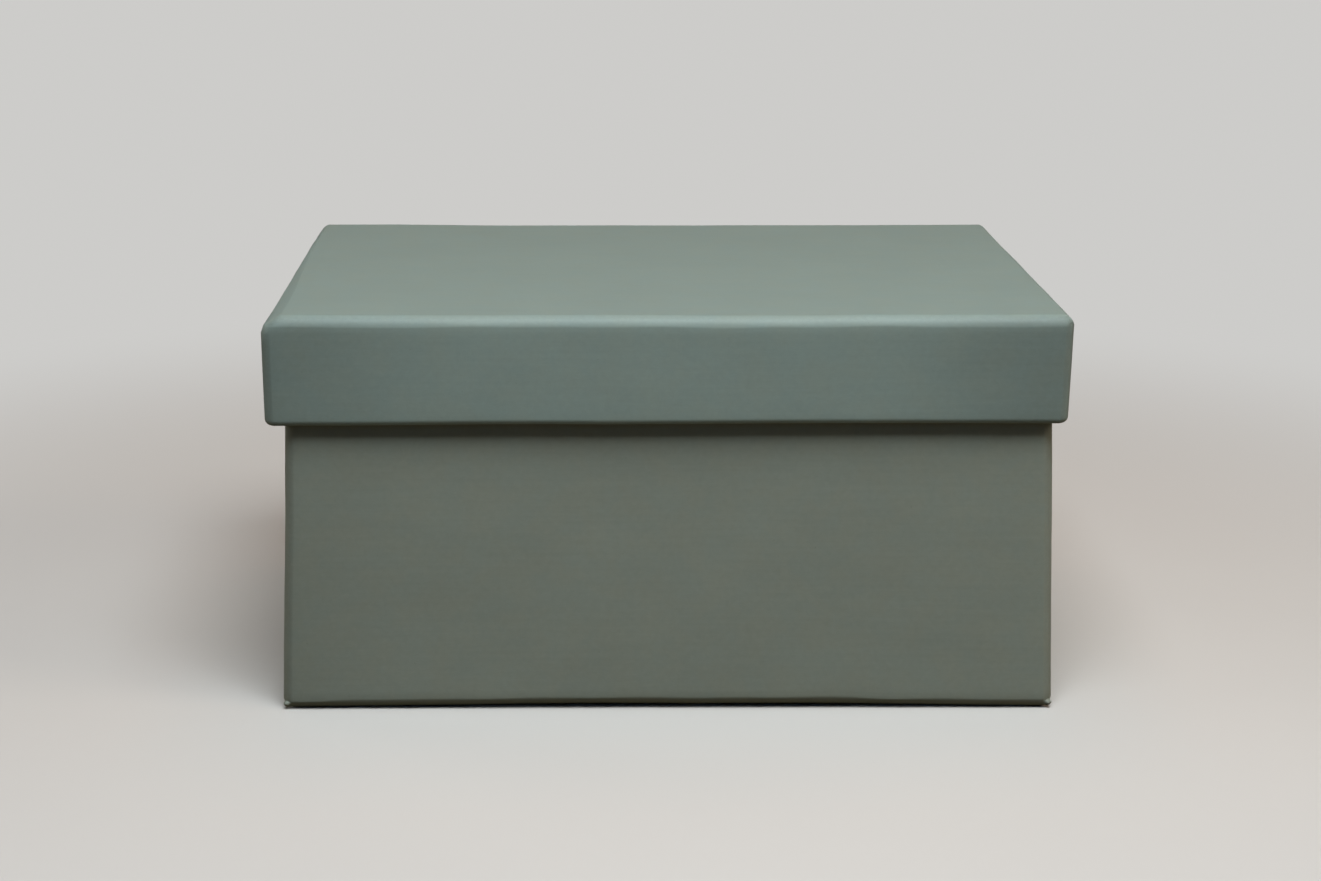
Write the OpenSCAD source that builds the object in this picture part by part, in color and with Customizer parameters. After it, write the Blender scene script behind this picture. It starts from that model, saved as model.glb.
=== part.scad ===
// Two-piece archival storage box: a rigid tray and a separate drop-on lid. Each half is
// built of glued boards held at the corners by paper stays, covered outside with one
// pasted sheet that turns in over the rim, and lined inside with thinner paper.
// Origin at the centre of the tray's underside, +X along the long side, +Y to the back,
// +Z up. Millimetres.

/* [Overall size] */
// Length of the lid, outside its covering
lid_w = 336; // [300:1:440]
// Depth of the lid, outside its covering
lid_d = 245; // [220:1:340]
// Height of the closed box
closed_h = 172; // [120:1:320]
// Height of the lid
lid_h = 46.5; // [34:0.5:80]

/* [Boards] */
// Thickness of every board
board_t = 4; // [2:0.1:4]
// Share of the board's thickness that is sanded round at its outer edges
edge_share = 0.96; // [0.3:0.02:0.96]
// Gap between the tray and the lid on each side
side_gap = 1.4; // [0.8:0.1:5]

/* [Paper] */
// Thickness of the outer covering
cover_t = 0.3; // [0.2:0.05:0.45]
// Thickness of the lining
lining_t = 0.25; // [0.15:0.05:0.4]
// Thickness of the corner stays
stay_t = 0.2; // [0.1:0.05:0.3]
// Width of each leg of a corner stay
stay_leg = 18; // [10:1:30]
// Depth that the covering turns in below each rim
turn_in = 16; // [10:1:24]
// Strip of covering left showing between the rim and the lining
rim_margin = 5; // [3:0.5:8]

/* [Colours] */
// Covering of the tray and the lid
cover_color = "#7c8b84"; // [#7c8b84:Grey green, #6f7f96:Slate blue, #3b3f3e:Black, #b9ad94:Buff]
// Lining of the tray and the lid
lining_color = "#e6e1d3"; // [#e6e1d3:Natural white, #f4f3ef:Bright white, #c9c2b0:Light grey]
// Core of the boards
board_color = "#a39d8f"; // [#a39d8f:Grey board, #e8e4da:White board, #b59b72:Straw board]
// Gummed paper of the corner stays
stay_color = "#b59468"; // [#b59468:Brown kraft, #ece8df:White]

/* [Hidden] */
$fn = 96;
// Radius of the rounded outer edges of the boards
edge_r = board_t * edge_share;
// Depth of paper outside the boards, with the stays under the covering
skin_t = cover_t + stay_t;
// Depth of everything from the outer face of a closed side to the face of its lining
side_t = skin_t + board_t + lining_t;
// The tray fits inside the lid's lined turn-in
tray_inset = skin_t + board_t + cover_t + lining_t + side_gap;
tray_w = lid_w - 2 * tray_inset;
tray_d = lid_d - 2 * tray_inset;
// The tray's rim touches the lining under the lid's top
tray_h = closed_h - side_t;
// Overlength of the cutting shapes
over = 1;

// Distance between the inner faces of two opposite boards of a half that is s long outside
function cavity(s) = s - 2 * (skin_t + board_t);

// A rectangle centred on the origin, with round corners of radius r
module rounded_rect(w, d, r) {
    square([w - 2 * r, d], center = true);
    square([w, d - 2 * r], center = true);
    for (sx = [-1, 1], sy = [-1, 1])
        translate([sx * (w / 2 - r), sy * (d / 2 - r)])
            circle(r);
}

// A block of w by d by h centred over z = from, with all its edges rounded to radius r
module soft_block(w, d, h, r, from = 0) {
    translate([0, 0, from + h / 2])
        intersection() {
            linear_extrude(h, center = true) rounded_rect(w, d, r);
            rotate([90, 0, 0]) linear_extrude(d, center = true) rounded_rect(w, h, r);
            rotate([90, 0, 90]) linear_extrude(w, center = true) rounded_rect(d, h, r);
        }
}

// A plain block of w by d, centred, between two heights
module block(w, d, from, to) {
    translate([-w / 2, -d / 2, from])
        cube([w, d, to - from]);
}

// The space that the boards of one half fill, open side up: w, d and h are outside sizes
module board_envelope(w, d, h) {
    soft_block(w - 2 * skin_t, d - 2 * skin_t, h - skin_t - cover_t, edge_r, skin_t);
}

// Board across the closed side
module panel_board(w, d, h) {
    intersection() {
        board_envelope(w, d, h);
        block(w, d, skin_t, skin_t + board_t);
    }
}

// Full-length wall board along the long side: side is -1 for the front and 1 for the back
module long_board(w, d, h, side) {
    intersection() {
        board_envelope(w, d, h);
        translate([0, side * (cavity(d) + board_t) / 2, 0])
            block(w, board_t, skin_t + board_t, h);
    }
}

// Wall board that fits between the long boards: side is -1 for the left and 1 for the right
module short_board(w, d, h, side) {
    intersection() {
        board_envelope(w, d, h);
        translate([side * (cavity(w) + board_t) / 2, 0, 0])
            block(board_t, cavity(d), skin_t + board_t, h);
    }
}

// Paper strip pasted round one upright corner, between the boards and the covering
module corner_stay(w, d, h, side_x, side_y) {
    outer_w = w - 2 * cover_t;
    outer_d = d - 2 * cover_t;
    from = skin_t + board_t;
    to = h - cover_t - board_t;
    translate([0, 0, from])
        intersection() {
            linear_extrude(to - from)
                difference() {
                    rounded_rect(outer_w, outer_d, edge_r + stay_t);
                    rounded_rect(w - 2 * skin_t, d - 2 * skin_t, edge_r);
                }
            translate([side_x * (outer_w - stay_leg) / 2, side_y * (outer_d - stay_leg) / 2, 0])
                block(stay_leg, stay_leg, -over, h);
        }
}

// One sheet over the closed side and the four walls, turned in over the rim
module cover_sheet(w, d, h) {
    difference() {
        soft_block(w, d, h, edge_r + skin_t);
        difference() {
            soft_block(w - 2 * cover_t, d - 2 * cover_t, h - 2 * cover_t,
                       edge_r + stay_t, cover_t);
            block(cavity(w), cavity(d), h - turn_in, h);
        }
        block(cavity(w) - 2 * cover_t, cavity(d) - 2 * cover_t, h - turn_in - over, h + over);
    }
}

// Lining of the four walls, which steps inwards over the edge of the turn-in
module wall_lining(w, d, h) {
    from = skin_t + board_t;
    step = h - turn_in;
    difference() {
        union() {
            block(cavity(w), cavity(d), from, step);
            block(cavity(w) - 2 * cover_t, cavity(d) - 2 * cover_t, from, h - rim_margin);
        }
        block(cavity(w) - 2 * lining_t, cavity(d) - 2 * lining_t, from - over, step - lining_t);
        block(cavity(w) - 2 * (cover_t + lining_t), cavity(d) - 2 * (cover_t + lining_t),
              from - over, h + over);
    }
}

// Lining of the closed side, inside the wall lining
module panel_lining(w, d) {
    block(cavity(w) - 2 * lining_t, cavity(d) - 2 * lining_t,
          skin_t + board_t, skin_t + board_t + lining_t);
}

// Turns a half over and puts it on as the lid
module as_lid() {
    translate([0, 0, closed_h])
        mirror([0, 0, 1])
            children();
}

module tray_floor_board() color(board_color) panel_board(tray_w, tray_d, tray_h);
module tray_front_board() color(board_color) long_board(tray_w, tray_d, tray_h, -1);
module tray_back_board() color(board_color) long_board(tray_w, tray_d, tray_h, 1);
module tray_left_board() color(board_color) short_board(tray_w, tray_d, tray_h, -1);
module tray_right_board() color(board_color) short_board(tray_w, tray_d, tray_h, 1);
module tray_stay_front_left() color(stay_color) corner_stay(tray_w, tray_d, tray_h, -1, -1);
module tray_stay_front_right() color(stay_color) corner_stay(tray_w, tray_d, tray_h, 1, -1);
module tray_stay_back_left() color(stay_color) corner_stay(tray_w, tray_d, tray_h, -1, 1);
module tray_stay_back_right() color(stay_color) corner_stay(tray_w, tray_d, tray_h, 1, 1);
module tray_cover() color(cover_color) cover_sheet(tray_w, tray_d, tray_h);
module tray_wall_lining() color(lining_color) wall_lining(tray_w, tray_d, tray_h);
module tray_floor_lining() color(lining_color) panel_lining(tray_w, tray_d);

module lid_top_board() color(board_color) as_lid() panel_board(lid_w, lid_d, lid_h);
module lid_front_board() color(board_color) as_lid() long_board(lid_w, lid_d, lid_h, -1);
module lid_back_board() color(board_color) as_lid() long_board(lid_w, lid_d, lid_h, 1);
module lid_left_board() color(board_color) as_lid() short_board(lid_w, lid_d, lid_h, -1);
module lid_right_board() color(board_color) as_lid() short_board(lid_w, lid_d, lid_h, 1);
module lid_stay_front_left() color(stay_color) as_lid() corner_stay(lid_w, lid_d, lid_h, -1, -1);
module lid_stay_front_right() color(stay_color) as_lid() corner_stay(lid_w, lid_d, lid_h, 1, -1);
module lid_stay_back_left() color(stay_color) as_lid() corner_stay(lid_w, lid_d, lid_h, -1, 1);
module lid_stay_back_right() color(stay_color) as_lid() corner_stay(lid_w, lid_d, lid_h, 1, 1);
module lid_cover() color(cover_color) as_lid() cover_sheet(lid_w, lid_d, lid_h);
module lid_skirt_lining() color(lining_color) as_lid() wall_lining(lid_w, lid_d, lid_h);
module lid_top_lining() color(lining_color) as_lid() panel_lining(lid_w, lid_d);

tray_floor_board();
tray_front_board();
tray_back_board();
tray_left_board();
tray_right_board();
tray_stay_front_left();
tray_stay_front_right();
tray_stay_back_left();
tray_stay_back_right();
tray_cover();
tray_wall_lining();
tray_floor_lining();
lid_top_board();
lid_front_board();
lid_back_board();
lid_left_board();
lid_right_board();
lid_stay_front_left();
lid_stay_front_right();
lid_stay_back_left();
lid_stay_back_right();
lid_cover();
lid_skirt_lining();
lid_top_lining();
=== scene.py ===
"""Looks for a paper-covered archival box: a rigid tray and a drop-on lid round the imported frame.

Each half is built the way it is made: boards, paper corner stays, one covering sheet that turns
in over the rim, and linings. A half is drawn in its own space, open side up, with its closed
side at depth 0. It is then set in place and given the lean, bow and waviness of a real box.
"""

import math

import bmesh
import bpy
import numpy as np
from mathutils import Matrix, Vector


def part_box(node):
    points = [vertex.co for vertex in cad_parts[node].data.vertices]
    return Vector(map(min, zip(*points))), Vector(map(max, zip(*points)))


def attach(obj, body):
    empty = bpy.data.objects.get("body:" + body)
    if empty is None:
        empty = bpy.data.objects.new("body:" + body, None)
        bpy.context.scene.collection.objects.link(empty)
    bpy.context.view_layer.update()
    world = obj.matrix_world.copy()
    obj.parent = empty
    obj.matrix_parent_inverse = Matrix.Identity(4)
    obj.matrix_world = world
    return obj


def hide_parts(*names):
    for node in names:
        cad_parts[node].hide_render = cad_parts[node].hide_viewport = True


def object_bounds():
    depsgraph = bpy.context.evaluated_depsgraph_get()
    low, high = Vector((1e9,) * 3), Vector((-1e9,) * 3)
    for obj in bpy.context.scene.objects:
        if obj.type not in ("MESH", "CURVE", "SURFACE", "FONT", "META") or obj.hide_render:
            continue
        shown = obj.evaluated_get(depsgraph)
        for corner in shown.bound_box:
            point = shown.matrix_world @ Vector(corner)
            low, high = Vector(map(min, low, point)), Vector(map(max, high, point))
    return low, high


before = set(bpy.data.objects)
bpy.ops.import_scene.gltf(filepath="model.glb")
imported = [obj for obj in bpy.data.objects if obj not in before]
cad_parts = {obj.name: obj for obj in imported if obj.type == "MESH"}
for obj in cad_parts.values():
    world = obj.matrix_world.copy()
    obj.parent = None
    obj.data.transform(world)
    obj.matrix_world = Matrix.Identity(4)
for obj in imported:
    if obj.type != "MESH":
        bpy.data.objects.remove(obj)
cad_low, cad_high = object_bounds()

MM = 0.001

# Shape of the rounded edges
EDGE_SHARE = 0.96  # share of a board's thickness that is rounded off
EDGE_POWER = 1.5  # 2 is a true arc, 1 a flat chamfer
BOARD_PROFILE = 2 ** (-2 / EDGE_POWER)  # the same curve, as a bevel's profile
EDGE_STEPS = 9  # mesh steps over half a rounded edge of the covering
BOARD_EDGE_STEPS = 8  # mesh steps over a rounded edge of a board
GRID_STEP = 5 * MM  # mesh spacing over the flats
BOARD_STEP = 12 * MM  # mesh spacing along the boards
ROW_STEP = 3.5 * MM  # mesh spacing down the walls
TINY = 0.01 * MM  # allowance when two places are compared

# Rim of the covering
RIM_OUT = 2.5 * MM  # depth of its outer curve
RIM_DROP = 2.6 * MM  # height of its outer curve
RIM_IN = 1.0 * MM  # radius of its inner curve
RIM_STEPS = 9  # mesh steps round each of its two curves
STRIP_ROWS = 6  # mesh rows over each strip inside the rim
TURN_IN = 16 * MM  # depth of the covering inside the rim
INNER_R = 0.6 * MM  # radius of the inside corners

# Folds of the covering
EDGE_DROP = 0.4 * MM  # the lid's rounded edge ends this far below the board's own
EDGE_SWAY = 0.22 * MM  # the crease where a rounded edge ends wanders about this far
EDGE_SWAY_LENGTH = 30 * MM
EDGE_SWAY_REACH = 0.5  # share of the edge's radius over which the wandering fades out
PAINTED_END_SHADE_REACH = 90 * MM  # how far the painted shade at the ends of the walls reaches from the upright corners
PAINTED_END_SHADE = {"tray": (0.06, 0.0), "lid": (0.2, 0.27)}  # depth of that painted shade at the left and right ends, for each half
SEAM_IN = 1.6 * MM  # from the rounded corner to the cut edge of the end flap
SEAM_RISE = 0.22 * MM  # step up onto the end flap
SEAM_SLOPE = 0.15 * MM  # width of that step
RIDGE_IN = 18 * MM  # from the corner to the hidden edges of the stays and tabs
RIDGE_RISE = 0.07 * MM
RIDGE_WIDTH = 1.4 * MM
RIDGE_CREST = 0.5  # share of the rise at the hidden edge
RIDGE_UNDER = 0.6  # share of the rise over the hidden paper
RIDGE_MARKS = (-1.2, -0.5, 0, 0.5, 1.2)  # mesh lines across a ridge, in ridge widths
FLAP_FADE = (0.35, 1.1)  # the flaps rise between these shares of the edge's radius
RIM_FLAP_SHARE = 0.2  # share of the flaps' rise that is left inside the rim

# Folds over the corners. Four values are for front left, back left, front right and back right
PLEAT_SHIFT = (0.16, -0.1, 0.1, -0.2)  # from the mitre line, as a share of the edge's width
PLEAT_DEPTH = (0.03 * MM, 0.16 * MM, 0.3 * MM, 0.2 * MM)
PLEAT_WIDTH = 0.17  # these widths are shares of the edge's width too
PLEAT_GAIN = 3  # how quickly the folds set in away from the flat sides
LAP_SHIFT = 0.36  # from the pleat to the middle of the raised lap beside it
LAP_WIDTH = 0.2
LAP_SHARE = 0.5  # its height, as a share of the pleat's depth
CORNER_FILL = {"tray": 1.15 * MM, "lid": 0.2 * MM}  # the folded paper fills the corners out this far
CORNER_FILL_DOWN = 0.5  # and this share of it towards the closed side
FILL_UP = (0.2, 0.5)  # shares of the edge's height between which the filling sets in
FILL_ACROSS = (0.15, 0.75)  # and shares of its width
CORNER_SPARE = 0.25 * MM  # the tips stay this far inside the flat sides

# Linings and stays
LINING_RAMP = 1.2 * MM  # length of the lining's step over the turn-in
LINING_WANDER = 0.18 * MM  # how far its cut edge wanders
LINING_WAVES = ((90, 1.0), (120, 0.4))  # radians per metre along x and y, and phases
LINING_GAP = 0.35 * MM  # between the two linings of a half
PASTE_GAP = 0.02 * MM  # between pasted sheets, so that their faces don't share a place
SHEET_SPARE = 0.03 * MM  # the linings are drawn this much thinner, for the same reason
STAY_SHARE = 0.85  # and the stays are this share of their room
STAY_STEPS = 4  # mesh steps across the leg of a stay

# Marks stored on the meshes
SHARP_ANGLE = math.radians(50)  # faces that meet at more than this stay sharp
FOLD_GAIN = 3.4  # how quickly wear sets in as a surface turns from flat

# Studio, in metres
FLOOR_RINGS = (0.02, 0.4, 1.0, 2.6)  # radii of the mesh rings of the floor's flat part
SWEEP_RADIUS = 1.4  # of the curve up into the wall
STUDIO_WALL = 1.6  # height above that curve
FLOOR_SIDES = 96
SWEEP_STEPS = 12
FLOOR_FADE = (0.24, 0.8)  # the floor fades into the background between these distances

# Lean, bow and waviness of the halves
TRAY_FOOT_OUT = 3.3 * MM  # each wall stands this far out at the foot
TRAY_RIM_IN = 2.1 * MM  # and this far in at the rim
TRAY_RIM_DROP = 0.9 * MM  # the rim sits below its nominal height
TRAY_DOME_X = 1.5 * MM  # rise of the foot's long edges at the middle
TRAY_DOME_Y = 0.5 * MM
TRAY_BOW = 0.5 * MM  # inward bow of the walls at the middle
LID_LEAN = 0.8 * MM  # each skirt leans in this far at its rim
LID_SAG = 0.45 * MM  # sag of the top at the middle
LID_EDGE_SAG = 0.25 * MM  # sag of the top's long edges
LID_RIM_RISE = 0.4 * MM  # rise of the skirt's rim at the middle
LID_RIM_SLANT = 0.55 * MM  # and its drop at the left end and rise at the right end
LID_PRESS_IN = 4.8 * MM  # the lid's left front top corner is pressed in this far
LID_PRESS_DEPTH = 7 * MM  # down to this depth
LID_PRESS_LEFT = (0.8, 1.0)  # and between these shares of the way out to the left
LID_PRESS_FRONT = (-0.6, 0.8)  # and to the front
OFF_CENTRE = 0.55 * MM  # the tray stands this far right of the middle, and the lid this far left
WAVES = ((80 * MM, 0.11 * MM), (24 * MM, 0.04 * MM))  # wavelength and height

rng = np.random.default_rng(206)


# ---------------------------------------------------------------- sizes of the two halves
class Half:
    """The tray or the lid: its sizes from the frame, and its place.

    reach_x and reach_y are half of its length and depth, and radius is that of its outer edges.
    """

    def __init__(self, name, panel):
        low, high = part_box(f"{name}_cover")
        panel_low, panel_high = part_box(f"{name}_{panel}_board")
        wall_low, wall_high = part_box(f"{name}_front_board")
        lining = "skirt" if name == "lid" else "wall"
        lining_low, lining_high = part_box(f"{name}_{lining}_lining")
        sheet_low, sheet_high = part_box(f"{name}_{panel}_lining")
        stay_low, stay_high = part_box(f"{name}_stay_front_left")
        self.name = name
        self.is_lid = name == "lid"
        self.reach_x = (high.x - low.x) / 2
        self.reach_y = (high.y - low.y) / 2
        self.height = high.z - low.z
        self.base_z = high.z if self.is_lid else low.z
        self.board = panel_high.z - panel_low.z
        self.skin = self.reach_x - (panel_high.x - panel_low.x) / 2
        self.floor = self.skin + self.board
        self.cover = self.height - self.floor - (wall_high.z - wall_low.z)
        self.lining = sheet_high.z - sheet_low.z
        self.margin = self.height - self.floor - (lining_high.z - lining_low.z)
        self.stay = stay_high.x - stay_low.x
        self.radius = EDGE_SHARE * self.board + self.skin

    def place(self, points):
        """Half space to the frame, with the shape of the real half."""
        placed = np.array(points, float)
        if self.is_lid:
            placed[:, 2] = self.base_z - placed[:, 2]
            return settle(shape_lid(placed, self))
        placed[:, 2] += self.base_z
        return settle(shape_tray(placed, self))


def smooth(value, start, end):
    """0 before start, 1 after end, with an easy slope between them."""
    t = np.clip((value - start) / (end - start), 0, 1)
    return t * t * (3 - 2 * t)


def crown(value, reach):
    """1 at the middle of a side, 0 at its ends."""
    return 1 - np.clip(value / reach, -1, 1) ** 2


def shape_tray(points, half):
    """Walls that stand wider at the foot, and a foot that bears on its corners."""
    x, y, z = points.T
    up = np.clip(z / half.height, 0, 1)
    grow = TRAY_FOOT_OUT * (1 - up) - TRAY_RIM_IN * up
    bow = TRAY_BOW * 4 * up * (1 - up)
    new_x = x * (1 + (grow - bow * crown(y, half.reach_y)) / half.reach_x) + OFF_CENTRE
    new_y = y * (1 + (grow - bow * crown(x, half.reach_x)) / half.reach_y)
    dome = TRAY_DOME_X * crown(x, half.reach_x) + TRAY_DOME_Y * crown(y, half.reach_y)
    new_z = z + dome * (1 - up) ** 2 - TRAY_RIM_DROP * up
    return np.stack([new_x, new_y, new_z], 1)


def shape_lid(points, half):
    """A skirt that leans in to its rim, and a top that sags a little."""
    x, y, z = points.T
    down = np.clip((half.base_z - z) / half.height, 0, 1)
    new_x = x * (1 - LID_LEAN * down / half.reach_x) - OFF_CENTRE
    new_y = y * (1 - LID_LEAN * down / half.reach_y)
    near_top = 1 - smooth(down * half.height, 0, LID_PRESS_DEPTH)
    near_left = smooth(-x / half.reach_x, *LID_PRESS_LEFT)
    near_front = smooth(-y / half.reach_y, *LID_PRESS_FRONT)
    new_x += LID_PRESS_IN * near_top * near_left * near_front
    along_x, along_y = crown(x, half.reach_x), crown(y, half.reach_y)
    sag = LID_SAG * along_x * along_y + LID_EDGE_SAG * along_x
    rim_rise = LID_RIM_RISE * along_x + LID_RIM_SLANT * x / half.reach_x
    new_z = z - sag * (1 - down) + rim_rise * down
    return np.stack([new_x, new_y, new_z], 1)


def wave_set(wavelength, count=7):
    """Random plane waves that make a smooth field: (directions, phases)."""
    turn = rng.normal(size=(count, 3))
    turn /= np.linalg.norm(turn, axis=1)[:, None]
    return turn * (2 * math.pi / wavelength), rng.uniform(0, 2 * math.pi, (count, 3))


WAVE_SETS = [(wave_set(length), height) for length, height in WAVES]
SWAY_SET = wave_set(EDGE_SWAY_LENGTH)


def settle(points):
    """Adds the slow waviness of hand-pasted board and paper."""
    moved = points.copy()
    for (turns, phases), height in WAVE_SETS:
        for turn, phase in zip(turns, phases):
            moved += height / math.sqrt(len(turns)) * np.sin((points @ turn)[:, None] + phase)
    return moved


# ---------------------------------------------------------------- mesh tools
def count_steps(length, step):
    """How many mesh steps of about this size a length takes."""
    return max(4, round(length / step))


def stations(reach, radius, step, marks=()):
    """Places along one side, close together round its corners and at the marks."""
    flat = reach - radius
    count = count_steps(2 * flat, step)
    places = {round(-flat + 2 * flat * i / count, 7) for i in range(count + 1)}
    for mark in marks:
        places |= {round(mark, 7), round(-mark, 7)}
    for i in range(1, EDGE_STEPS + 1):
        place = round(flat + radius * i / EDGE_STEPS, 7)
        places |= {place, -place}
    return np.array(sorted(places))


def slope(distance, radius):
    """Tangent that runs from 0 to 1 over the rounded part of an edge."""
    return np.tan(np.clip(distance / radius, 0, 1) * math.pi / 4)


def round_off(reach):
    """Turns directions into places on a rounded edge of radius 1: (places, normals)."""
    length = (np.abs(reach) ** EDGE_POWER).sum(1) ** (1 / EDGE_POWER)
    normals = np.sign(reach) * np.abs(reach) ** (EDGE_POWER - 1)
    normals /= np.linalg.norm(normals, axis=1)[:, None]
    return reach / length[:, None], normals


def round_block(x, y, depth, half):
    """Moves points of a plain block onto a block with rounded edges: (points, normals)."""
    flat_x, flat_y, r = half.reach_x - half.radius, half.reach_y - half.radius, half.radius
    slope_x = np.sign(x) * slope(np.abs(x) - flat_x, r)
    slope_y = np.sign(y) * slope(np.abs(y) - flat_y, r)
    places, normals = round_off(np.stack([slope_x, slope_y, -slope(r - depth, r)], 1))
    core = [np.clip(x, -flat_x, flat_x), np.clip(y, -flat_y, flat_y), np.maximum(depth, r)]
    return np.stack(core, 1) + r * places, normals


def plan_loop(x, y, half, inset, radius):
    """Moves points of the plain outline in by inset, onto corners of a radius: (x, y, normals)."""
    flat_x, flat_y = half.reach_x - half.radius, half.reach_y - half.radius
    core_x = np.clip(x / flat_x, -1, 1) * (half.reach_x - inset - radius)
    core_y = np.clip(y / flat_y, -1, 1) * (half.reach_y - inset - radius)
    slope_x = np.sign(x) * slope(np.abs(x) - flat_x, half.radius)
    slope_y = np.sign(y) * slope(np.abs(y) - flat_y, half.radius)
    places, normals = round_off(np.stack([slope_x, slope_y], 1))
    return core_x + radius * places[:, 0], core_y + radius * places[:, 1], normals


def perimeter(nx, ny):
    """Grid indices (i, j) once round the edge of a grid."""
    front = [(i, 0) for i in range(nx)]
    right = [(nx, j) for j in range(ny)]
    back = [(i, ny) for i in range(nx, 0, -1)]
    left = [(0, j) for j in range(ny, 0, -1)]
    return front + right + back + left


def outline_of(xs, ys):
    """Once round the edge of a grid: (grid indices, x, y)."""
    ring = perimeter(len(xs) - 1, len(ys) - 1)
    return ring, np.array([xs[i] for i, j in ring]), np.array([ys[j] for i, j in ring])


def walk(x, y):
    """Distance walked along a line of points."""
    return np.concatenate([[0], np.cumsum(np.hypot(np.diff(x), np.diff(y)))])


def grid_sheet(xs, ys, outward):
    """Faces of a grid of points, and their places on the sheet: (faces, uvs)."""
    faces, uvs = [], []
    for i in range(len(xs) - 1):
        for j in range(len(ys) - 1):
            corners = [(i, j), (i + 1, j), (i + 1, j + 1), (i, j + 1)]
            if outward:
                corners = corners[:1] + corners[:0:-1]
            faces.append([ci * len(ys) + cj for ci, cj in corners])
            uvs.append([(xs[ci], ys[cj]) for ci, cj in corners])
    return faces, uvs


def band_sheet(along, depths, closed):
    """Faces of rows of points, and their places on the sheet: (faces, uvs)."""
    count = len(along)
    faces, uvs = [], []
    for row in range(len(depths) - 1):
        for place in range(count if closed else count - 1):
            after = (place + 1) % count
            corners = [(place, row), (place, row + 1), (after, row + 1), (after, row)]
            faces.append([r * count + s for s, r in corners])
            far = along[after] if after else along[place] + GRID_STEP
            uvs.append([(along[place] if s == place else far, depths[r]) for s, r in corners])
    return faces, uvs


def new_piece(name, points, faces, half, uvs=None, flip=False):
    """A mesh object in the frame from points in half space, with sheet coordinates in metres."""
    placed = half.place(points)
    if half.is_lid != flip:
        faces = [face[::-1] for face in faces]
        uvs = None if uvs is None else [corner[::-1] for corner in uvs]
    mesh = bpy.data.meshes.new(name)
    mesh.from_pydata(placed.tolist(), [], faces)
    if uvs is not None:
        layer = mesh.uv_layers.new(name="sheet")
        layer.data.foreach_set("uv", np.array(uvs, np.float32).ravel())
    mesh.update()
    piece = bpy.data.objects.new(name, mesh)
    bpy.context.scene.collection.objects.link(piece)
    return piece


def thicken(piece, thickness):
    """Gives a surface the thickness of its sheet, away from its visible side."""
    solid = piece.modifiers.new("thickness", "SOLIDIFY")
    solid.thickness = thickness
    solid.offset = -1
    solid.use_even_offset = True
    solid.use_quality_normals = True
    dependencies = bpy.context.evaluated_depsgraph_get()
    mesh = bpy.data.meshes.new_from_object(piece.evaluated_get(dependencies))
    piece.modifiers.clear()
    piece.data = mesh


def mark_painted_end_shade(mesh, half):
    """Stores painted shade that darkens each wall towards its upright corners."""
    places = np.zeros(len(mesh.vertices) * 3, np.float32)
    mesh.vertices.foreach_get("co", places)
    is_right = (places[::3] > 0) * 1
    x, y, z = np.abs(places.reshape(-1, 3)).T
    on_wall = smooth(np.maximum(x - half.reach_x, y - half.reach_y), -half.radius, 0)
    corner = np.hypot(np.maximum(half.reach_x - x, 0), np.maximum(half.reach_y - y, 0))
    painted_end_shade = mesh.attributes.new("painted_end_shade", "FLOAT", "POINT")
    near = 1 - smooth(corner, 0, PAINTED_END_SHADE_REACH)
    depth = np.take(PAINTED_END_SHADE[half.name], is_right)
    painted_end_shade.data.foreach_set("value", (depth * near * on_wall).astype(np.float32))


def finish_piece(piece, half, node, material):
    """Shades a piece, gives it its material, ties it to its body, and hides the CAD node that it stands
    in for.
    """
    mesh = piece.data
    mesh.polygons.foreach_set("use_smooth", np.ones(len(mesh.polygons), bool))
    mesh.set_sharp_from_angle(angle=SHARP_ANGLE)
    mark_folds(mesh)
    # painted shade towards the upright corners of the walls
    mark_painted_end_shade(mesh, half)
    mesh.materials.clear()
    mesh.materials.append(material)
    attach(piece, half.name)
    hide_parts(node)


def mark_folds(mesh):
    """Stores how far each point is from a flat side, for wear along the folds."""
    normals = np.zeros(len(mesh.vertices) * 3, np.float32)
    mesh.vertices.foreach_get("normal", normals)
    flatness = np.abs(normals.reshape(-1, 3)).max(1)
    fold = mesh.attributes.new("fold", "FLOAT", "POINT")
    fold.data.foreach_set("value", np.clip((1 - flatness) * FOLD_GAIN, 0, 1).astype(np.float32))


# ---------------------------------------------------------------- covering sheet
def rim_profile(half):
    """Rows of the covering below its walls: (inset, depth, outward normal, depth normal)."""
    total = half.floor + half.cover
    rows = []
    for i in range(1, RIM_STEPS + 1):
        turn = math.pi / 2 * i / RIM_STEPS
        out, down = math.cos(turn) / RIM_OUT, math.sin(turn) / RIM_DROP
        size = math.hypot(out, down)
        inset = RIM_OUT * (1 - math.cos(turn))
        depth = half.height - RIM_DROP * (1 - math.sin(turn))
        rows.append((inset, depth, out / size, down / size))
    for i in range(0, RIM_STEPS + 1):
        turn = math.pi / 2 * i / RIM_STEPS
        inset = total - RIM_IN * (1 - math.sin(turn))
        depth = half.height - RIM_IN * (1 - math.cos(turn))
        rows.append((inset, depth, -math.sin(turn), math.cos(turn)))
    inner = np.linspace(half.height - RIM_IN, half.height - TURN_IN, STRIP_ROWS)[1:]
    rows += [(total, float(depth), -1.0, 0.0) for depth in inner]
    return rows


def flap_rise(x, y, half):
    """How far the covering stands out where the end flaps lie over the tabs and stays."""
    on_end = np.abs(x) > half.reach_x - half.radius
    seam = half.reach_y - half.radius - SEAM_IN
    rise = np.where(on_end, SEAM_RISE * (np.abs(y) < seam + TINY), 0.0)
    along = np.where(on_end, half.reach_y - np.abs(y), half.reach_x - np.abs(x))
    ridge = np.exp(-(((along - RIDGE_IN) / RIDGE_WIDTH) ** 2))
    under = smooth(RIDGE_IN - along, -RIDGE_WIDTH, RIDGE_WIDTH)
    return rise + RIDGE_RISE * (RIDGE_CREST * ridge + RIDGE_UNDER * under)


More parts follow.
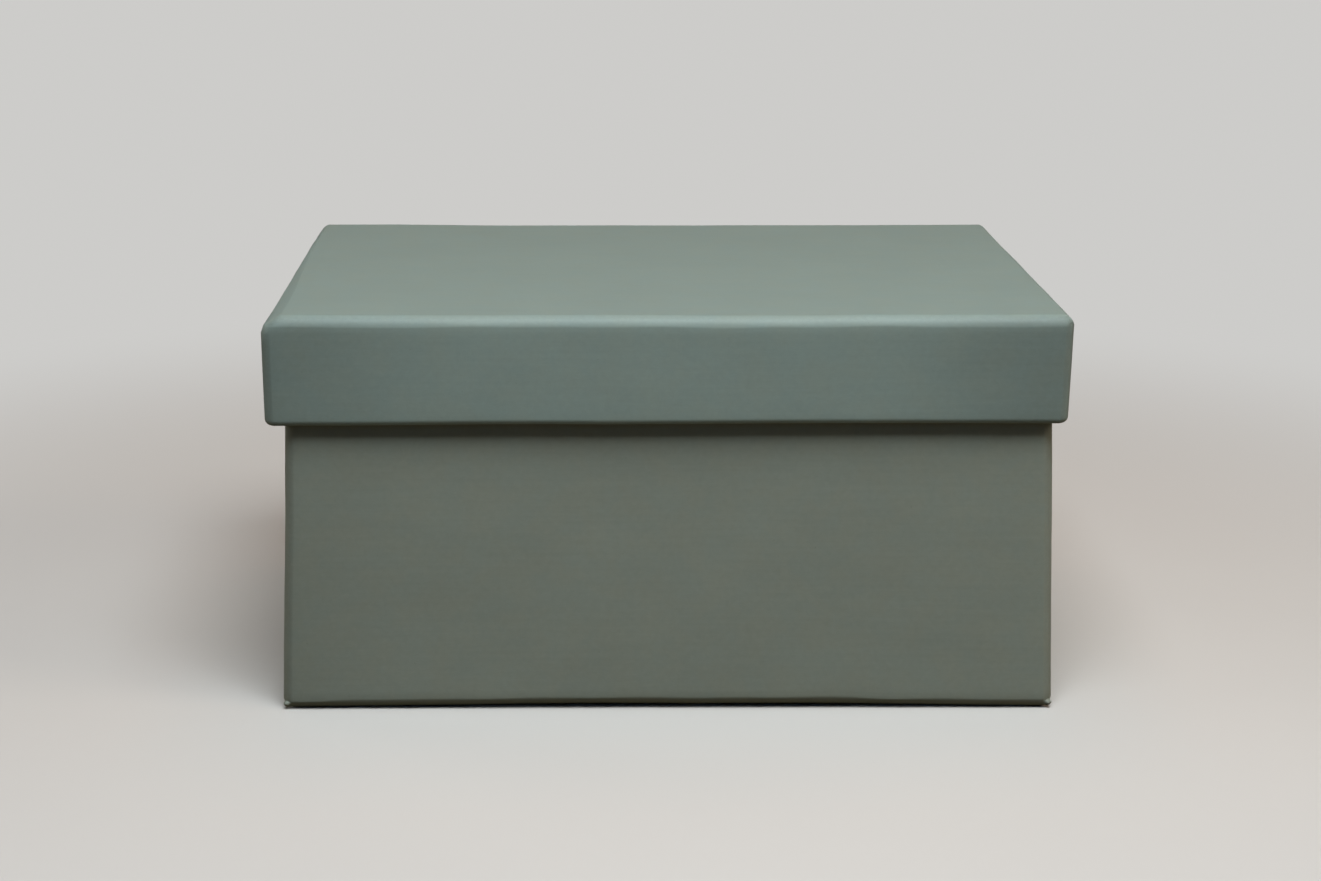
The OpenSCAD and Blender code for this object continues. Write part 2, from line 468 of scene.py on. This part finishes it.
def edge_sway(x, y, depth, half):
    """How far a row near the crease at the end of the rounded edge is below its nominal depth."""
    turns, phases = SWAY_SET
    waves = np.sin(np.stack([x, y, 0 * x], 1) @ turns.T + phases[:, 0])
    near = math.exp(-(((depth - half.radius) / (EDGE_SWAY_REACH * half.radius)) ** 2))
    drop = EDGE_DROP if half.is_lid else 0
    return near * (drop + EDGE_SWAY * waves.sum(1) / math.sqrt(len(turns)))


def corner_folds(points, normals, x, y, depth, half):
    """Mitred pleats over the closed corners, which the folded paper fills out to small tips."""
    near_x = np.clip((np.abs(x) - (half.reach_x - half.radius)) / half.radius, 0, 1)
    near_y = np.clip((np.abs(y) - (half.reach_y - half.radius)) / half.radius, 0, 1)
    near_z = np.clip((half.radius - depth) / half.radius, 0, 1)
    across_corner = np.minimum(near_x, near_y)
    corner = np.minimum(across_corner * PLEAT_GAIN, 1) * np.minimum(near_z * PLEAT_GAIN, 1)
    which = (x > 0) * 2 + (y > 0) * 1
    across = near_x - near_y - np.take(PLEAT_SHIFT, which)
    lap = LAP_SHARE * np.exp(-(((across - LAP_SHIFT) / LAP_WIDTH) ** 2))
    pleat = lap - np.exp(-((across / PLEAT_WIDTH) ** 2))
    moved = points + normals * (np.take(PLEAT_DEPTH, which) * pleat * corner)[:, None]
    fill = smooth(near_z, *FILL_UP) * smooth(across_corner, *FILL_ACROSS)
    size = CORNER_FILL[half.name] * np.array([1, 1, CORNER_FILL_DOWN])
    limits = np.array([half.reach_x, half.reach_y, half.height]) - CORNER_SPARE
    reach = np.abs(moved) * (1, 1, -1) + (0, 0, half.height)
    step = np.minimum(size * fill[:, None], np.maximum(limits - reach, 0))
    return moved + step * np.stack([np.sign(x), np.sign(y), -np.ones_like(x)], 1)


def cover_depths(half):
    """Depths of the covering's rows down its rounded edge and its walls."""
    edge = [half.radius * i / EDGE_STEPS for i in range(1, EDGE_STEPS + 1)]
    wall_end = half.height - RIM_DROP
    wall_steps = count_steps(wall_end - half.radius, ROW_STEP)
    return edge + list(np.linspace(half.radius, wall_end, wall_steps + 1)[1:])


def cover_panel(xs, ys, half):
    """Points of the closed side."""
    grid_x, grid_y = np.meshgrid(xs, ys, indexing="ij")
    x, y = grid_x.ravel(), grid_y.ravel()
    level = np.zeros_like(x)
    points, normals = round_block(x, y, level, half)
    return corner_folds(points, normals, x, y, level, half)


def cover_wall_row(x, y, depth, half):
    """One row of points round the walls."""
    level = np.full(len(x), depth)
    points, normals = round_block(x, y, level, half)
    rise = flap_rise(x, y, half) * smooth(depth / half.radius, *FLAP_FADE)
    points = corner_folds(points + normals * rise[:, None], normals, x, y, level, half)
    points[:, 2] += edge_sway(x, y, depth, half)
    return points


def cover_rim_row(x, y, profile_row, half):
    """One row of points round the rim or the turn-in."""
    inset, depth, out, down = profile_row
    loop_x, loop_y, side = plan_loop(x, y, half, inset, max(half.radius - inset, INNER_R))
    rise = flap_rise(x, y, half) * (RIM_FLAP_SHARE + (1 - RIM_FLAP_SHARE) * max(out, 0))
    moved_x = loop_x + side[:, 0] * rise * out
    moved_y = loop_y + side[:, 1] * rise * out
    return np.stack([moved_x, moved_y, depth + rise * down], 1)


def cover_wall_sheet(ring, xs, ys, lengths, half):
    """Faces of the covering from its closed side down, and their places: (faces, uvs)."""
    count = len(ring)
    first = len(xs) * len(ys)
    faces, uvs = [], []

    def point_index(place, row):
        i, j = ring[place]
        return i * len(ys) + j if row == 0 else first + (row - 1) * count + place

    for row in range(len(lengths) - 1):
        for place in range(count):
            after = (place + 1) % count
            corners = [(place, row), (after, row), (after, row + 1), (place, row + 1)]
            faces.append([point_index(s, r) for s, r in corners])
            (i, j), (next_i, next_j) = ring[place], ring[after]
            if j == next_j and j in (0, len(ys) - 1):
                side = np.sign(ys[j])
                uvs.append([(xs[ring[s][0]], side * (half.reach_y + lengths[r])) for s, r in corners])
            else:
                side = np.sign(xs[i] + xs[next_i])
                uvs.append([(side * (half.reach_x + lengths[r]), ys[ring[s][1]]) for s, r in corners])
    return faces, uvs


def build_cover(half, material):
    """One sheet: the closed side, rounded edges, walls, rolled rim and turn-in."""
    seam = half.reach_y - half.radius - SEAM_IN
    ridges = [RIDGE_IN + k * RIDGE_WIDTH for k in RIDGE_MARKS]
    marks_x = [half.reach_x - ridge for ridge in ridges]
    marks_y = [seam, seam + SEAM_SLOPE] + [half.reach_y - ridge for ridge in ridges]
    xs = stations(half.reach_x, half.radius, GRID_STEP, marks_x)
    ys = stations(half.reach_y, half.radius, GRID_STEP, marks_y)
    ring, ring_x, ring_y = outline_of(xs, ys)
    parts = [cover_panel(xs, ys, half)]
    lengths = [0.0]
    for depth in cover_depths(half):
        parts.append(cover_wall_row(ring_x, ring_y, depth, half))
        lengths.append(depth)
    inset_before, depth_before = 0.0, half.height - RIM_DROP
    for profile_row in rim_profile(half):
        parts.append(cover_rim_row(ring_x, ring_y, profile_row, half))
        inset, depth = profile_row[:2]
        lengths.append(lengths[-1] + math.hypot(inset - inset_before, depth - depth_before))
        inset_before, depth_before = inset, depth
    faces, uvs = grid_sheet(xs, ys, outward=True)
    wall_faces, wall_uvs = cover_wall_sheet(ring, xs, ys, lengths, half)
    points = np.concatenate(parts)
    piece = new_piece(f"{half.name}_cover.paper", points, faces + wall_faces, half, uvs + wall_uvs)
    thicken(piece, half.cover)
    finish_piece(piece, half, f"{half.name}_cover", material)


# ---------------------------------------------------------------- linings
def build_wall_lining(half, node, material):
    """Lining of the walls, which steps in over the edge of the turn-in."""
    xs = stations(half.reach_x, half.radius, GRID_STEP)
    ys = stations(half.reach_y, half.radius, GRID_STEP)
    ring, ring_x, ring_y = outline_of(xs, ys)
    step = half.height - TURN_IN
    ramp_start, ramp_end = step - LINING_RAMP, step + half.cover
    low_rows = count_steps(step - half.floor, ROW_STEP)
    depths = list(np.linspace(half.floor + PASTE_GAP, ramp_start, low_rows))
    depths += list(np.linspace(ramp_start, ramp_end, STRIP_ROWS)[1:])
    depths += list(np.linspace(ramp_end, half.height - half.margin, STRIP_ROWS)[1:])
    (turn_x, phase_x), (turn_y, phase_y) = LINING_WAVES
    wander = LINING_WANDER * np.sin(ring_x * turn_x + phase_x) * np.sin(ring_y * turn_y + phase_y)
    parts = []
    for row, depth in enumerate(depths):
        over_turn_in = float(smooth(depth, ramp_start, step))
        inset = half.floor + half.lining + half.cover * over_turn_in
        loop_x, loop_y, _ = plan_loop(ring_x, ring_y, half, inset, INNER_R)
        level = depth + (wander if row == len(depths) - 1 else 0 * ring_x)
        parts.append(np.stack([loop_x, loop_y, level], 1))
    faces, uvs = band_sheet(walk(ring_x, ring_y), depths, closed=True)
    piece = new_piece(f"{node}.paper", np.concatenate(parts), faces, half, uvs)
    thicken(piece, half.lining - SHEET_SPARE)
    finish_piece(piece, half, node, material)


def build_panel_lining(half, node, material):
    """Lining of the closed side, cut to fit inside the wall lining."""
    gap = half.floor + half.lining + LINING_GAP
    reach_x, reach_y = half.reach_x - gap, half.reach_y - gap
    xs = np.linspace(-reach_x, reach_x, count_steps(2 * reach_x, GRID_STEP))
    ys = np.linspace(-reach_y, reach_y, count_steps(2 * reach_y, GRID_STEP))
    grid_x, grid_y = np.meshgrid(xs, ys, indexing="ij")
    level = np.full(grid_x.size, half.floor + half.lining)
    points = np.stack([grid_x.ravel(), grid_y.ravel(), level], 1)
    faces, uvs = grid_sheet(xs, ys, outward=False)
    piece = new_piece(f"{node}.paper", points, faces, half, uvs)
    thicken(piece, half.lining - SHEET_SPARE)
    finish_piece(piece, half, node, material)


# ---------------------------------------------------------------- corner stays
def build_stay(half, node, side_x, side_y, material):
    """A paper strip folded round one upright corner, under the covering."""
    inset = half.cover + PASTE_GAP
    radius = half.radius - inset
    leg = half.stay - radius
    xs = stations(half.reach_x, half.radius, half.stay / STAY_STEPS)
    ys = stations(half.reach_y, half.radius, half.stay / STAY_STEPS)
    keep_x = xs[xs >= half.reach_x - half.radius - leg]
    keep_y = ys[ys >= half.reach_y - half.radius - leg]
    path_x = np.concatenate([keep_x, np.full(len(keep_y) - 1, keep_x[-1])]) * side_x
    path_y = np.concatenate([np.full(len(keep_x), keep_y[-1]), keep_y[::-1][1:]]) * side_y
    loop_x, loop_y, _ = plan_loop(path_x, path_y, half, inset, radius)
    start, end = half.floor, half.height - half.cover - half.board
    depths = np.linspace(start, end, count_steps(end - start, ROW_STEP))
    points = np.concatenate(
        [np.stack([loop_x, loop_y, np.full(len(loop_x), depth)], 1) for depth in depths]
    )
    faces, uvs = band_sheet(walk(loop_x, loop_y), depths, closed=False)
    piece = new_piece(f"{node}.tape", points, faces, half, uvs, flip=side_x * side_y < 0)
    thicken(piece, (half.skin - half.cover) * STAY_SHARE)
    finish_piece(piece, half, node, material)


# ---------------------------------------------------------------- boards
def from_lowest(face):
    """The same face, named from its lowest point on, so that every run gives the same mesh."""
    start = face.index(min(face))
    return face[start:] + face[:start]


def build_board(half, node, low, high, round_edges, material):
    """A board between two corners in half space. round_edges lists edges as signs on two axes."""
    mesh = bmesh.new()
    bmesh.ops.create_cube(mesh, size=1)
    middle, size = (Vector(low) + Vector(high)) / 2, Vector(high) - Vector(low)
    for vertex in mesh.verts:
        vertex.co = Vector([c * s for c, s in zip(vertex.co, size)]) + middle
    chosen = []
    for edge in mesh.edges:
        centre = (edge.verts[0].co + edge.verts[1].co) / 2 - middle
        sides = [0 if abs(c) < TINY else int(math.copysign(1, c)) for c in centre]
        if tuple(sides) in round_edges:
            chosen.append(edge)
    bmesh.ops.bevel(
        mesh,
        geom=chosen,
        offset=EDGE_SHARE * half.board,
        segments=BOARD_EDGE_STEPS,
        profile=BOARD_PROFILE,
        affect="EDGES",
        clamp_overlap=False,
    )
    for axis in range(3):
        pieces = int(size[axis] / (ROW_STEP if axis == 2 else BOARD_STEP))
        for i in range(1, pieces):
            place = middle.copy()
            place[axis] = low[axis] + size[axis] * i / pieces
            direction = Vector([axis == 0, axis == 1, axis == 2])
            everything = mesh.verts[:] + mesh.edges[:] + mesh.faces[:]
            bmesh.ops.bisect_plane(mesh, geom=everything, plane_co=place, plane_no=direction)
    bmesh.ops.recalc_face_normals(mesh, faces=mesh.faces)
    mesh.verts.index_update()
    points = np.array([vertex.co for vertex in mesh.verts])
    faces = sorted(from_lowest([vertex.index for vertex in face.verts]) for face in mesh.faces)
    mesh.free()
    piece = new_piece(f"{node}.card", points, faces, half)
    finish_piece(piece, half, node, material)


def build_boards(half, panel, material):
    """The closed side's board and the four walls that stand on it."""
    out_x, out_y = half.reach_x - half.skin, half.reach_y - half.skin
    in_x, in_y = out_x - half.board, out_y - half.board
    top = half.height - half.cover
    corners = [(sx, sy, 0) for sx in (-1, 1) for sy in (-1, 1)]
    foot = [(-1, 0, -1), (1, 0, -1), (0, -1, -1), (0, 1, -1)]
    panel_low, panel_high = (-out_x, -out_y, half.skin), (out_x, out_y, half.floor)
    build_board(half, f"{half.name}_{panel}_board", panel_low, panel_high, corners + foot, material)
    for name, side in (("front", -1), ("back", 1)):
        low = (-out_x, min(side * out_y, side * in_y), half.floor)
        high = (out_x, max(side * out_y, side * in_y), top)
        edges = [(-1, side, 0), (1, side, 0), (0, side, 1), (-1, 0, 1), (1, 0, 1)]
        build_board(half, f"{half.name}_{name}_board", low, high, edges, material)
    for name, side in (("left", -1), ("right", 1)):
        low = (min(side * out_x, side * in_x), -in_y, half.floor)
        high = (max(side * out_x, side * in_x), in_y, top)
        build_board(half, f"{half.name}_{name}_board", low, high, [(side, 0, 1)], material)


# ---------------------------------------------------------------- materials
class Nodes:
    """Small helper that wires a node tree."""

    def __init__(self, name):
        self.material = bpy.data.materials.new(name)
        self.material.use_nodes = True
        self.tree = self.material.node_tree
        self.tree.nodes.clear()

    def add(self, kind, inputs=None, **settings):
        node = self.tree.nodes.new(kind)
        for key, value in settings.items():
            setattr(node, key, value)
        for key, value in (inputs or {}).items():
            if isinstance(value, bpy.types.NodeSocket):
                self.tree.links.new(value, node.inputs[key])
            else:
                node.inputs[key].default_value = value
        return node

    def math(self, operation, first, second=0.0, third=0.0):
        inputs = {0: first, 1: second, 2: third}
        return self.add("ShaderNodeMath", inputs, operation=operation).outputs[0]

    def stretch(self, vector, scale, shift=(0, 0, 0)):
        inputs = {"Vector": vector, "Scale": scale, "Location": shift}
        return self.add("ShaderNodeMapping", inputs).outputs[0]

    def in_mm(self, vector):
        """Places in millimetres, so that a noise of scale 1 has grains of about 1 mm."""
        return self.stretch(vector, (1 / MM, 1 / MM, 1 / MM))

    def stored(self, name):
        """A value that is stored on the mesh under this name."""
        return self.add("ShaderNodeAttribute", attribute_name=name).outputs["Fac"]

    def noise(self, vector, scale, detail=3.0, roughness=0.55, distortion=0.0):
        """Cloudy noise, from 0 to 1, with about scale clouds per unit of the vector."""
        inputs = {
            "Vector": vector,
            "Scale": scale,
            "Detail": detail,
            "Roughness": roughness,
            "Distortion": distortion,
        }
        return self.add("ShaderNodeTexNoise", inputs).outputs["Fac"]

    def ramp(self, value, low, high):
        """0 below low and 1 above high, with an easy slope between them."""
        inputs = {"Value": value, "From Min": low, "From Max": high}
        node = self.add("ShaderNodeMapRange", inputs, clamp=True, interpolation_type="SMOOTHSTEP")
        return node.outputs[0]

    def mix(self, factor, first, second):
        node = self.add("ShaderNodeMix", data_type="RGBA", blend_type="MIX")
        for key, value in ((0, factor), (6, first), (7, second)):
            if isinstance(value, bpy.types.NodeSocket):
                self.tree.links.new(value, node.inputs[key])
            elif key:
                node.inputs[key].default_value = (*value, 1)
            else:
                node.inputs[key].default_value = value
        return node.outputs[2]

    def finish(self, colour, roughness, bump=None, sheen=0.0, specular=0.5):
        shader = self.add("ShaderNodeBsdfPrincipled", {"Base Color": colour, "Roughness": roughness})
        shader.inputs["Specular IOR Level"].default_value = specular
        shader.inputs["Sheen Weight"].default_value = sheen
        if bump is not None:
            self.tree.links.new(bump, shader.inputs["Normal"])
        output = self.add("ShaderNodeOutputMaterial")
        self.tree.links.new(shader.outputs[0], output.inputs[0])
        return self.material


def tint(colour, amount):
    """A colour made lighter or darker."""
    return tuple(min(1.0, c * amount) for c in colour)


def warmer(colour):
    """The same colour a touch warmer, for the uneven dye of recycled pulp."""
    red, green, blue = colour
    return (red * 1.03, green, blue * 0.975)


def paper(name, colour, mottle=0.09, streak=0.045, fleck=0.3, fold_wear=0.1, roughness=0.52):
    """Matte uncoated paper: cloudy pulp, fibres, streaks along the machine direction, flecks."""
    n = Nodes(name)
    place = n.in_mm(n.add("ShaderNodeUVMap", uv_map="sheet").outputs[0])
    clouds = n.noise(place, 0.022, 3, 0.6)
    pulp = n.noise(place, 0.34, 4, 0.6, 0.4)
    streaks = n.noise(n.stretch(place, (0.02, 0.55, 1)), 1.0, 3, 0.6)
    fibres = n.noise(n.stretch(place, (0.5, 2.1, 1), (13, 7, 0)), 1.0, 4, 0.65, 1.3)
    grain = n.noise(place, 3.2, 2, 0.5)
    layers = (
        (clouds, 1.3 * mottle),
        (pulp, 1.6 * mottle),
        (streaks, 2 * streak),
        (fibres, 1.2 * mottle),
        (grain, 0.7 * mottle),
    )
    brightness = 1.0
    for layer, strength in layers:
        brightness = n.math("MULTIPLY_ADD", n.math("SUBTRACT", layer, 0.5), strength, brightness)
    fold = n.stored("fold")
    scuff = n.math("MULTIPLY", fold, n.ramp(n.noise(place, 0.5, 5, 0.7), 0.42, 0.66))
    brightness = n.math("MULTIPLY_ADD", scuff, fold_wear, brightness)
    # painted shade: the walls are darker towards their upright corners
    brightness = n.math("SUBTRACT", brightness, n.stored("painted_end_shade"))
    warm = n.mix(n.ramp(n.noise(place, 0.07, 3, 0.6), 0.35, 0.65), colour, warmer(colour))
    shade = n.add("ShaderNodeVectorMath", {0: warm}, operation="SCALE")
    n.tree.links.new(brightness, shade.inputs["Scale"])
    specks = n.ramp(n.noise(n.stretch(place, (1, 1, 1), (41, 3, 5)), 0.62, 2, 0.4), 0.775, 0.79)
    dark = n.mix(n.math("MULTIPLY", specks, fleck), shade.outputs[0], tint(colour, 0.5))
    height = n.math("MULTIPLY_ADD", fibres, 0.5, n.math("MULTIPLY", grain, 0.35))
    height = n.math("MULTIPLY_ADD", pulp, 0.8, height)
    bump = n.add("ShaderNodeBump", {"Height": height, "Strength": 0.5, "Distance": 0.05 * MM})
    rough = n.math("MULTIPLY_ADD", pulp, 0.12, roughness - 0.06)
    rough = n.math("MULTIPLY_ADD", scuff, 0.08, rough)
    return n.finish(dark, rough, bump.outputs[0], sheen=0.05, specular=0.38)


def card(name, colour):
    """Grey board: coarse recycled pulp with light and dark fibres."""
    n = Nodes(name)
    place = n.in_mm(n.add("ShaderNodeTexCoord").outputs["Object"])
    pulp = n.noise(place, 0.3, 5, 0.65, 0.5)
    fibres = n.noise(n.stretch(place, (0.4, 1.4, 1.4)), 1.0, 5, 0.7, 1.5)
    grain = n.noise(place, 2.6, 3, 0.6)
    light = n.mix(n.ramp(pulp, 0.3, 0.7), tint(colour, 0.84), tint(colour, 1.12))
    dark = n.mix(n.math("MULTIPLY", n.ramp(fibres, 0.6, 0.74), 0.5), light, tint(colour, 0.55))
    flecks = n.math("MULTIPLY", n.ramp(grain, 0.66, 0.74), 0.5)
    pale = n.mix(flecks, dark, tint(colour, 1.5))
    height = n.math("ADD", n.math("MULTIPLY", fibres, 0.6), n.math("MULTIPLY", grain, 0.4))
    bump = n.add("ShaderNodeBump", {"Height": height, "Strength": 0.7, "Distance": 0.12 * MM})
    return n.finish(pale, n.math("MULTIPLY_ADD", pulp, 0.1, 0.85), bump.outputs[0], specular=0.2)


def stay_tape(name, colour):
    """Brown gummed kraft paper with a ribbed calender mark."""
    n = Nodes(name)
    place = n.in_mm(n.add("ShaderNodeUVMap", uv_map="sheet").outputs[0])
    pulp = n.noise(place, 0.4, 5, 0.65, 0.5)
    fibres = n.noise(n.stretch(place, (2.2, 0.3, 1)), 1.0, 4, 0.65, 1.0)
    ribs = n.add("ShaderNodeTexWave", {"Vector": place, "Scale": 0.35, "Distortion": 1.0})
    colour_mix = n.mix(n.ramp(pulp, 0.3, 0.7), tint(colour, 0.85), tint(colour, 1.1))
    colour_mix = n.mix(n.math("MULTIPLY", n.ramp(fibres, 0.55, 0.75), 0.4), colour_mix, tint(colour, 0.6))
    height = n.math("MULTIPLY_ADD", ribs.outputs["Fac"], 0.3, fibres)
    bump = n.add("ShaderNodeBump", {"Height": height, "Strength": 0.5, "Distance": 0.05 * MM})
    return n.finish(colour_mix, 0.7, bump.outputs[0], specular=0.35)


def plain_floor(name, colour, far_colour, bounce):
    """Pale matte studio floor that fades into an evenly lit pale background.

    The light that it throws back on the box has the bounce colour.
    """
    n = Nodes(name)
    coords = n.add("ShaderNodeTexCoord").outputs["Object"]
    soft = n.noise(coords, 1.6, 3, 0.5)
    grain = n.noise(coords, 700, 2, 0.5)
    shade = n.mix(n.ramp(soft, 0.3, 0.7), tint(colour, 0.985), tint(colour, 1.01))
    seen = n.add("ShaderNodeLightPath").outputs["Is Camera Ray"]
    shade = n.mix(seen, bounce, shade)
    bump = n.add("ShaderNodeBump", {"Height": grain, "Strength": 0.15, "Distance": 0.1 * MM})
    material = n.finish(shade, 0.8, bump.outputs[0], specular=0.2)
    output = n.tree.nodes["Material Output"]
    surface = output.inputs[0].links[0].from_socket
    away = n.add("ShaderNodeVectorMath", {0: coords}, operation="LENGTH").outputs["Value"]
    far = n.math("MULTIPLY", n.ramp(away, *FLOOR_FADE), seen)
    glow = n.add("ShaderNodeEmission", {"Color": (*far_colour, 1)}).outputs[0]
    blend = n.add("ShaderNodeMixShader", {0: far, 1: surface, 2: glow}).outputs[0]
    n.tree.links.new(blend, output.inputs[0])
    return material


# ---------------------------------------------------------------- the box
LID_COLOUR = (0.240, 0.312, 0.294)
TRAY_COLOUR_WITH_PAINTED_BOUNCE = (0.234, 0.270, 0.236)  # darker and browner than the lid's; the brown tint is painted warm light from the floor
LINING_COLOUR = (0.72, 0.69, 0.61)
BOARD_COLOUR = (0.36, 0.33, 0.28)
STAY_COLOUR = (0.42, 0.27, 0.14)

lining_paper = paper(
    "lining paper", LINING_COLOUR, mottle=0.03, streak=0.015, fleck=0.25, fold_wear=0.02
)
grey_board = card("grey board", BOARD_COLOUR)
gummed_tape = stay_tape("gummed tape", STAY_COLOUR)
HALVES = (
    # the tray's colour carries painted warm light from the floor
    (Half("tray", "floor"), "floor", "wall", paper("tray covering", TRAY_COLOUR_WITH_PAINTED_BOUNCE)),
    (Half("lid", "top"), "top", "skirt", paper("lid covering", LID_COLOUR)),
)
CORNERS = (
    ("front_left", -1, -1),
    ("front_right", 1, -1),
    ("back_left", -1, 1),
    ("back_right", 1, 1),
)
for half, panel, wall, covering in HALVES:
    build_boards(half, panel, grey_board)
    for corner, side_x, side_y in CORNERS:
        build_stay(half, f"{half.name}_stay_{corner}", side_x, side_y, gummed_tape)
    build_cover(half, covering)
    build_wall_lining(half, f"{half.name}_{wall}_lining", lining_paper)
    build_panel_lining(half, f"{half.name}_{panel}_lining", lining_paper)


# ---------------------------------------------------------------- studio
def build_floor(colour, far_colour, bounce):
    """A round pale floor that sweeps up into a low wall far behind the box on every side."""
    outline = [(radius, 0.0) for radius in FLOOR_RINGS]
    flat = FLOOR_RINGS[-1]
    for i in range(1, SWEEP_STEPS + 1):
        turn = math.pi / 2 * i / SWEEP_STEPS
        outline.append((flat + SWEEP_RADIUS * math.sin(turn), SWEEP_RADIUS * (1 - math.cos(turn))))
    outline.append((flat + SWEEP_RADIUS, SWEEP_RADIUS + STUDIO_WALL))
    points, faces = [], []
    for radius, z in outline:
        for side in range(FLOOR_SIDES):
            turn = 2 * math.pi * side / FLOOR_SIDES
            points.append((radius * math.cos(turn), radius * math.sin(turn), z))
    for row in range(len(outline) - 1):
        inner, outer = row * FLOOR_SIDES, (row + 1) * FLOOR_SIDES
        for side in range(FLOOR_SIDES):
            after = (side + 1) % FLOOR_SIDES
            faces.append((inner + side, inner + after, outer + after, outer + side))
    faces.append(tuple(range(FLOOR_SIDES - 1, -1, -1)))
    mesh = bpy.data.meshes.new("studio_floor")
    mesh.from_pydata(points, [], faces)
    mesh.polygons.foreach_set("use_smooth", np.ones(len(mesh.polygons), bool))
    mesh.materials.append(plain_floor("pale floor", colour, far_colour, bounce))
    floor = bpy.data.objects.new("studio_floor", mesh)
    bpy.context.scene.collection.objects.link(floor)


def add_softbox(name, azimuth, elevation, distance, size, power, colour, diffuse=True, glossy=True):
    """A soft area light aimed at the box. Azimuth 0 is in front of it and 90 is to its right.

    Without its diffuse part a light shows only as a sheen on the paper, and without its glossy
    part it gives no sheen.
    """
    data = bpy.data.lights.new(name, "AREA")
    data.shape = "RECTANGLE"
    data.size = size[0]
    data.size_y = size[1]
    data.energy = power
    data.color = colour
    light = bpy.data.objects.new(name, data)
    turn, rise = math.radians(azimuth), math.radians(elevation)
    level = math.cos(rise)
    away = Vector((math.sin(turn) * level, -math.cos(turn) * level, math.sin(rise)))
    light.location = Vector((0, 0, cad_high.z / 2)) + away * distance
    light.visible_camera = False
    light.visible_diffuse = diffuse
    light.visible_glossy = glossy
    light.rotation_mode = "QUATERNION"
    light.rotation_quaternion = away.to_track_quat("Z", "Y")
    bpy.context.scene.collection.objects.link(light)


def set_world(colour, strength):
    """Faint even light from all round."""
    world = bpy.data.worlds.new("studio air")
    world.use_nodes = True
    background = world.node_tree.nodes["Background"]
    background.inputs["Color"].default_value = (*colour, 1)
    background.inputs["Strength"].default_value = strength
    bpy.context.scene.world = world


def add_camera(position, tilt, pan, roll, lens, shift):
    """Looks along +Y, turned pan degrees to the right and tilt degrees down.

    Roll turns the picture clockwise, and shift moves it to the left by that share of its width.
    """
    data = bpy.data.cameras.new("camera")
    data.lens = lens
    data.sensor_width = 36
    data.shift_x = shift
    data.clip_start = 0.05
    data.clip_end = 30
    camera = bpy.data.objects.new("camera", data)
    level = Matrix.Rotation(math.radians(90), 4, "X")
    tilt_turn = Matrix.Rotation(math.radians(-tilt), 4, "X")
    pan_turn = Matrix.Rotation(math.radians(-pan), 4, "Z")
    roll_turn = Matrix.Rotation(math.radians(roll), 4, "Z")
    camera.matrix_world = Matrix.Translation(position) @ pan_turn @ tilt_turn @ level @ roll_turn
    bpy.context.scene.collection.objects.link(camera)
    bpy.context.scene.camera = camera


build_floor(colour=(0.64, 0.635, 0.63), far_colour=(0.61, 0.605, 0.59), bounce=(0.13, 0.10, 0.06))

# Name, azimuth and elevation in degrees, distance and size in metres, power in watts, colour
add_softbox("key", 8, 61.5, 1.45, (0.92, 0.78), 21.2, (0.92, 0.965, 0.965))
add_softbox("side", 68, 32, 1.9, (0.8, 0.8), 7, (1.0, 0.76, 0.55))
add_softbox("left", -85, 20, 1.9, (0.8, 0.8), 2.7, (1.0, 0.88, 0.76))
add_softbox("overhead", 180, 75, 1.6, (0.8, 0.8), 2.4, (1.0, 0.34, 0.02), glossy=False)
add_softbox("front", 5, 25, 1.9, (0.9, 0.5), 1, (0.3, 0.6, 1.0), glossy=False)
add_softbox("rear", 180, 4, 2.0, (1.0, 0.5), 9, (1.0, 0.94, 0.84), glossy=False)
add_softbox("rear left", -125, 4, 2.0, (0.9, 0.5), 11, (1.0, 0.95, 0.86), glossy=False)
add_softbox("rear right", 130, 4, 2.0, (0.9, 0.5), 5, (1.0, 0.88, 0.72), glossy=False)
add_softbox("sheen", 8, 62, 1.8, (1.4, 1.1), 7.5, (0.12, 0.58, 1.0), diffuse=False)
set_world((0.93, 0.97, 1.0), 0.01)
add_camera((-0.0319, -1.1305, 0.3683), tilt=13.866, pan=0.6, roll=0.1, lens=68.13, shift=0.0325)
bpy.context.scene.view_settings.view_transform = "Standard"
